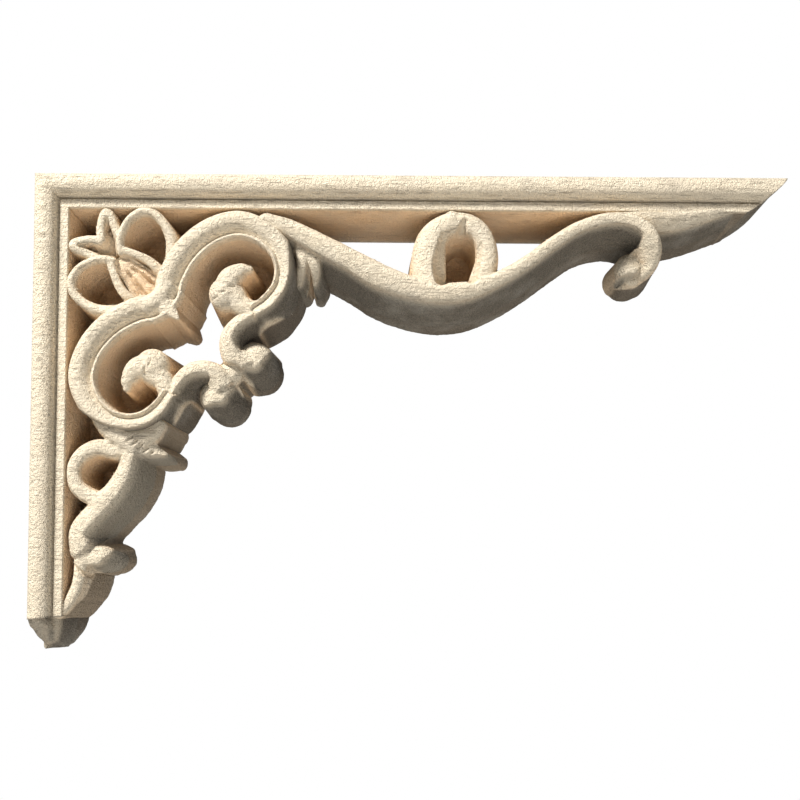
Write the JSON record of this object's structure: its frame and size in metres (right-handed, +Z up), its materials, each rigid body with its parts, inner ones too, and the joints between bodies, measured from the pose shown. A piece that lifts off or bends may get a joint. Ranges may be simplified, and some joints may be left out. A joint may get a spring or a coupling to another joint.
{
  "type": "wooden corner onlay",
  "caption": "Carved wooden corner onlay: a moulded rail and post with pierced scrollwork in the angle, flat at the back.",
  "frame": {"origin": "on the flat back, where the middle lines of the top rail and the post cross", "axes": "+X along the top rail away from the corner, +Z up the post towards the rail, -Y out of the carved face; the flat back faces +Y"},
  "size_m": [0.24, 0.03, 0.1529],
  "materials": {
    "wood": "raw unpainted pale wood, machine carved, slightly fuzzy"
  },
  "bodies": {
    "root": {"corner_onlay": "wood"}
  },
  "joints": []
}
